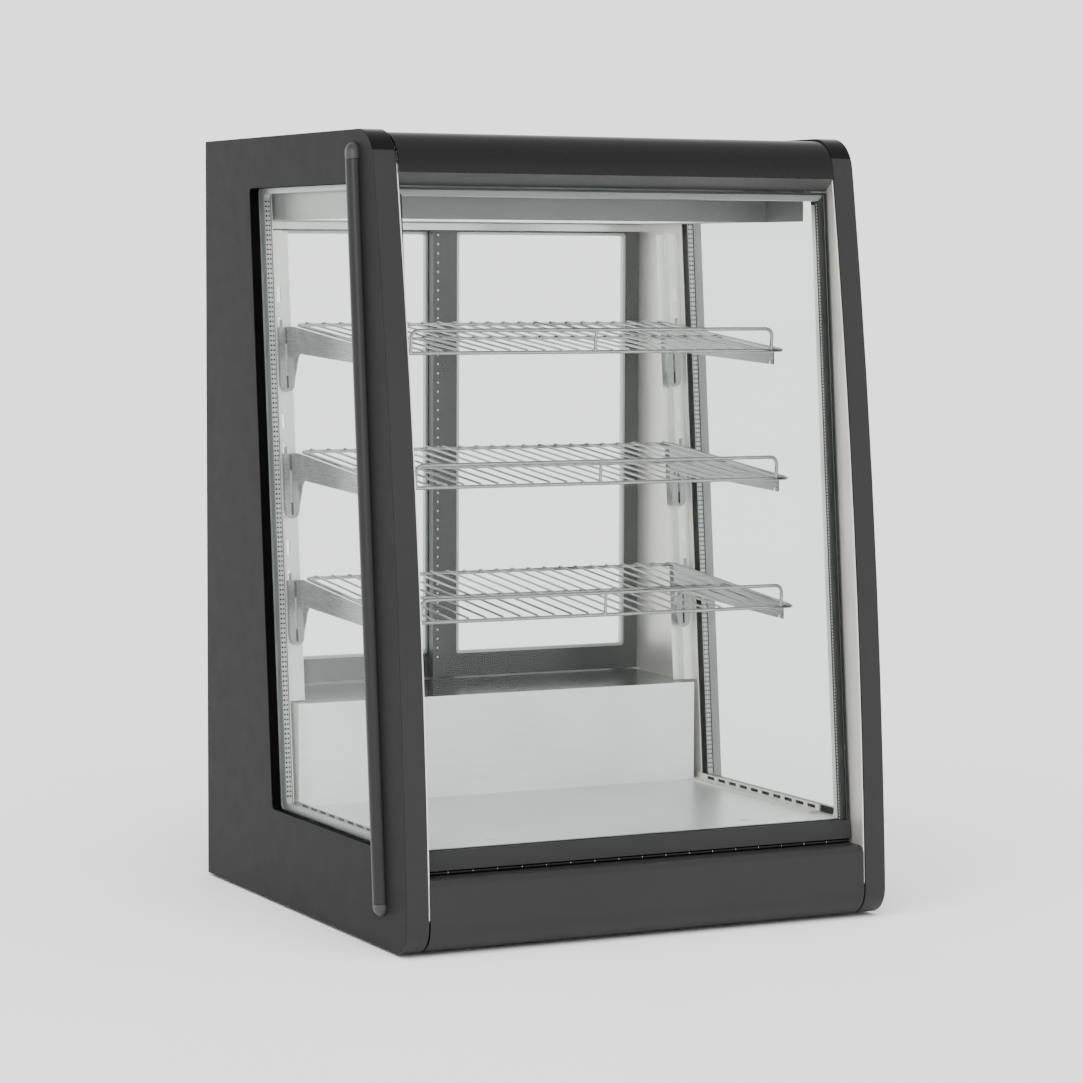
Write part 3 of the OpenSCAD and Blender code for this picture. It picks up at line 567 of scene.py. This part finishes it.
# ---------------------------------------------------------------- wire shelves
for k, name in ((1, "low"), (2, "mid"), (3, "top")):
    at = on_shelf(k)
    bm = bmesh.new()
    loop = rounded([(-SHELF_HALF, 0), (SHELF_HALF, 0), (SHELF_HALF, -SHELF_DEPTH),
                    (-SHELF_HALF, -SHELF_DEPTH)], 5, 6)
    tube(bm, [at(u, v, 0) for u, v in loop], 2, 14, True)
    tube(bm, [at(x, -SHELF_DEPTH / 2, -0.2) for x in (-SHELF_HALF, -80, 80, SHELF_HALF)], 1.8)
    for i in range(-11, 12):
        # Each cross wire ends bent down over the loop
        x = i * 19.9
        wire = [(1.2, 1.4), (-1, 2.6), (-90, 2.6), (-180, 2.6),
                (1 - SHELF_DEPTH, 2.6), (-1.2 - SHELF_DEPTH, 1.4)]
        tube(bm, [at(x, v, w) for v, w in wire], 1.25, 10)
    # Guard rail with its middle post and the weld beads of its feet
    post = 214
    corner = post - 8
    rail = [(-post, 0), (-post, 8)] + arc((-corner, 15.5), 8, 180, 90) + arc((corner, 15.5), 8, 90, 0) \
        + [(post, 8), (post, 0)]
    tube(bm, [at(u, -SHELF_DEPTH, w) for u, w in rail], 2, 14)
    tube(bm, [at(0, -SHELF_DEPTH, w) for w in (0, 12, 23.5)], 1.7, 12)
    for x in (-post, 0, post):
        tube(bm, [at(x, -SHELF_DEPTH, w) for w in (1.2, 2.6, 3.6)], 2.5, 12)
    finish(bm, f"wire_shelf_{name}", "chrome_wire", f"shelf_{name}", (f"wire_shelf_{k}",), 50)


# ---------------------------------------------------------------- shelf brackets
def bracket(k, s):
    """One bent sheet: a lobe on the upright, a bend and an arm that tapers forwards."""
    rear_y, rear_z = shelf_y(k), shelf_z(k)
    face = 384 - 6 + TILT * (rear_z - 215)
    lobe_w, bend_r, front = 17.5, 4.5, rear_y - 245
    bend = bend_r * math.pi / 2
    steps = [lobe_w * i / 14 for i in range(15)] + [lobe_w + bend * i / 6 for i in range(1, 7)]
    reach = face - bend_r - front
    stations = (0.015, 0.03, 0.045, 0.065, 0.09, 0.12, 0.2, 0.4, 0.7, 0.955, 0.956, 0.975, 0.976, 1.0)
    steps += [lobe_w + bend + reach * t for t in stations]

    def plan(t):
        if t <= lobe_w:
            return 249.5 - t, face, 1.0
        if t <= lobe_w + bend:
            a = (t - lobe_w) / bend_r
            return 232 - bend_r * math.sin(a) * 0.55, face - bend_r * (1 - math.cos(a)), 1.0
        y = face - bend_r - (t - lobe_w - bend)
        return 232 - bend_r * 0.55, y, max(0.0, 1 - (face - y) / 30)

    def low(t):
        if t < lobe_w:
            r = lobe_w / 2
            return rear_z - 73 + r - math.sqrt(max(0.0, r * r - (t - r) ** 2))
        f = min(1.0, (t - lobe_w) / 26)
        curve = rear_z - 73 + 8.75 + (43 - 8.75) * (1 - (1 - f) ** 2.6)
        y = plan(t)[1]
        arm = rear_z - 30.5 - (face - y) * 0.041
        notch = 3.5 if 0.9555 < (face - bend_r - y) / reach < 0.9755 else 0
        return min(curve, arm) + notch

    def high(t):
        return rear_z - 2.6 - (rear_y - plan(t)[1]) * TILT

    bm = bmesh.new()
    rows = 8
    grid = []
    for t in steps:
        x, y, shear = plan(t)
        z0, z1 = low(t), high(t)
        column = []
        for j in range(rows + 1):
            z = z0 + (z1 - z0) * j / rows
            column.append(bm.verts.new(P(s * x, y + shear * TILT * (z - rear_z), z)))
        grid.append(column)
    slit = range(6, 8)
    for i in range(len(grid) - 1):
        for j in range(rows):
            if i in slit and 2 <= j < 6:
                continue
            bm.faces.new((grid[i][j], grid[i + 1][j], grid[i + 1][j + 1], grid[i][j + 1]))
    bmesh.ops.recalc_face_normals(bm, faces=bm.faces)
    inward = Vector((-s, 0.0, 0.0))
    arm_faces = [f for f in bm.faces if abs(f.normal.x) > 0.9]
    if arm_faces and arm_faces[0].normal.dot(inward) < 0:
        bmesh.ops.reverse_faces(bm, faces=bm.faces)
    bmesh.ops.solidify(bm, geom=bm.faces[:], thickness=1.9 * MM)
    soften(bm, 0.3, 2, 50)
    # Black strips behind the slit: painted shade in the slit
    for z0, z1 in ((rear_z - 20.5, rear_z - 3), (rear_z - 69, rear_z - 55.5)):
        for f in prism(bm, [(239.5, z0), (242, z0), (242, z1), (239.5, z1)],
                       lambda u, v, w: P(s * u, face - 1.92 + w + TILT * (v - rear_z), v), -0.06, 0.02):
            f.material_index = 1
    hook = face + 0.4
    block(bm, (s * 244.5, hook - 1.9, rear_z - 4), (s * 247.5, hook, rear_z + 6))
    return bm


for k in (1, 2, 3):
    for side, s in (("left", -1), ("right", 1)):
        finish(bracket(k, s), f"shelf_bracket_{side}_{k}", "bracket_steel", "case",
               (f"bracket_{side}_{k}",), 40, ("hole_shade_black",))


# ---------------------------------------------------------------- CAD shapes with softened edges
CORNER_Z = 808                          # where the front edge turns into the rounded top corner


def panel_face(normal, c):
    """0 the side, 1 the window's reveal, 2 the front edge, 3 the rounded top corner."""
    if abs(normal.x) > 0.6:
        return 0
    if WINDOW_LOW - 8 < c.z < WINDOW_HIGH + 8 and bow_y(c.z) + 25 < c.y < 480:
        return 1
    if c.y > 200:
        return 0
    return 3 if c.z > CORNER_Z else 2


def canopy_face(normal, c):
    """1 the side wings, 0 the rest."""
    return int(abs(normal.x) > 0.9 and c.y > 214)


def cover_face(normal, c):
    """1 the ledge on top, 0 the rest."""
    return int(normal.z > 0.9)


SPECIAL = {
    # The lower beam and front rail take the lighter front copy of the paint: painted light
    "lower_beam": (0.5, "front_lit_paint"), "front_rail": (0.3, "front_lit_paint"),
    "side_liner_left": (0.3, "liner_steel"), "side_liner_right": (0.3, "liner_steel"),
    "trim_end_caps": (0.4, "cap_black"), "rear_header": (0.3, "header_steel"),
    "side_gaskets": (0, "grey_silicone"), "vent_strips": (0.3, "liner_steel"),
    "deck_plate": (0.4, "deck_steel"), "condenser": (0, None), "evaporator": (0, None),
    "led_board": (0, None), "hinge_pin": (0, None),
    "hinge_leaf_fixed": (0.2, "hinge_black"), "hinge_leaf_moving": (0.2, "hinge_black"),
}
replaced = {"side_glass_left", "side_glass_right", "front_glass", "door_glass_left", "door_glass_right",
            "side_spacers", "front_spacer", "wire_shelf_1", "wire_shelf_2", "wire_shelf_3",
            "side_panel_left", "side_panel_right", "canopy", "machine_cover", "top_beam"}
replaced |= {f"bracket_{side}_{k}" for side in ("left", "right") for k in (1, 2, 3)}
for node in frame["nodes"]:
    if node not in replaced:
        width, finish_name = SPECIAL.get(node, (0.35, None))
        refined(node, width, 2 if width else 1, finish_name)
# The reveal is painted shade on the left and painted light on the right
for side, reveal in (("left", "reveal_shaded_black"), ("right", "reveal_lit_grey")):
    # The panel's front edge takes the lighter front copy of the paint: painted light
    refined(f"side_panel_{side}", 1.2, 2, None, extra=(reveal, "front_lit_paint", "corner_black"),
            choose=panel_face, cuts=(((0, 0, CORNER_Z), (0, 0, 1)),))
refined("canopy", 0.6, 2, "canopy_steel", extra=("canopy_end",), choose=canopy_face)
refined("machine_cover", 0.5, 2, "cover_steel", extra=("ledge_steel",), choose=cover_face)

# Top beam: black nose, with the paler lip that slopes back to the glass
bm = bmesh.new()
nose = (120, 787)
profile = [(190, 827)] + [(nose[0] - 40 * math.sin(math.radians(a)), nose[1] + 40 * math.cos(math.radians(a)))
                          for a in range(0, 91, 3)]
profile += [(80, 786.4), (80.4, 785.8), (95.3, 773.5), (95.9, 773), (96.4, 773.1), (99, 776), (82.5, 787)]
profile += [(nose[0] - 37.5 * math.cos(math.radians(a)), nose[1] + 37.5 * math.sin(math.radians(a)))
            for a in range(0, 91, 6)] + [(190, 824.5)]
for f in prism(bm, profile, lambda u, v, w: P(w, u, v), -253.4, 253.4):
    c = f.calc_center_median().z / MM
    f.material_index = int(c < 786.1 and len(f.verts) == 4)
finish(bm, "top_beam_skin", "beam_black", "case", ("top_beam",), 20, ("beam_lip",))

# Black sheet behind the vent strips' slots: painted shade inside the slots
bm = bmesh.new()
for s in (-1, 1):
    block(bm, (s * 251.3, 94, 104.2), (s * 251.7, 364, 109.4))
finish(bm, "vent_slot_shade", "hole_shade_black", "case")

# Bright washers between the hinge knuckles
bm = bmesh.new()
for i in range(1, KNUCKLES):
    x = -HINGE_LENGTH / 2 + i * HINGE_LENGTH / KNUCKLES
    tube(bm, [P(x - 0.25, *HINGE), P(x + 0.25, *HINGE)], 1.95, 16)
finish(bm, "hinge_washers", "screw_steel", "case")


# ---------------------------------------------------------------- door trims
for side, s in (("left", -1), ("right", 1)):
    body = f"door_{side}"
    y = DOOR_Y[side]
    bm = bmesh.new()
    outer = rounded([(15, 243), (234, 243), (234, 731), (15, 731)], 4)
    inner = rounded([(18, 246), (231, 246), (231, 728), (18, 728)], 3)
    rings = [[bm.verts.new(P(s * u, w, v)) for u, v in line]
             for w in (y - 0.1, y + 6.9) for line in (outer, inner)]
    ring_band(bm, rings)
    finish(bm, f"door_bead_{side}", "spacer_aluminium", body)
    dots = bmesh.new()
    for i in range(47):
        disc(dots, P(-9 if s > 0 else 9, y - 0.05, 240 + i * 10.6), Vector((0, -1, 0)), 1.1)
    finish(dots, f"door_holes_{side}", "liner_steel", body)


# ---------------------------------------------------------------- stage and light
floor = bpy.data.meshes.new("floor")
floor.from_pydata([(-30, -30, -0.0004), (30, -30, -0.0004), (30, 30, -0.0004), (-30, 30, -0.0004)], [],
                  [(0, 1, 2, 3)])
floor_mat = Tree("floor")
floor_mat.principled(floor_mat.shades(floor_mat.noise(3, 2), (0.86, 0.86, 0.86), (0.88, 0.88, 0.88)),
                     floor_mat.ramp(floor_mat.noise(5, 2), 0.75, 0.85))
floor.materials.append(floor_mat.mat)
floor = bpy.data.objects.new("floor", floor)
bpy.context.scene.collection.objects.link(floor)

world = bpy.data.worlds.new("world")
bpy.context.scene.world = world
world.use_nodes = True
tree = world.node_tree
sky = tree.nodes["Background"]
sky.inputs["Color"].default_value = (1, 1, 1, 1)
height = tree.nodes.new("ShaderNodeSeparateXYZ")
dome = tree.nodes.new("ShaderNodeMapRange")
for key, value in (("From Min", 0.1), ("From Max", 0.7), ("To Min", 2.0), ("To Max", 0.8)):
    dome.inputs[key].default_value = value
tree.links.new(tree.nodes.new("ShaderNodeTexCoord").outputs["Generated"], height.inputs["Vector"])
tree.links.new(height.outputs["Z"], dome.inputs["Value"])
tree.links.new(dome.outputs["Result"], sky.inputs["Strength"])


def lamp(name, kind, place, target, power, **values):
    data = bpy.data.lights.new(name, kind)
    data.energy = power
    for key, value in values.items():
        setattr(data, key, value)
    obj = bpy.data.objects.new(name, data)
    obj.location = place
    obj.rotation_euler = (Vector(target) - Vector(place)).to_track_quat("-Z", "Y").to_euler()
    bpy.context.scene.collection.objects.link(obj)
    return obj


overhead = lamp("overhead", "SUN", (-0.6, -1.2, 3), (0, 0, 0.3), 4.6, angle=math.radians(60))
overhead.visible_glossy = False
lamp("side", "AREA", (-1.9, -1.5, 1.1), (-0.28, -0.2, 0.45), 9, shape="SQUARE", size=0.9)
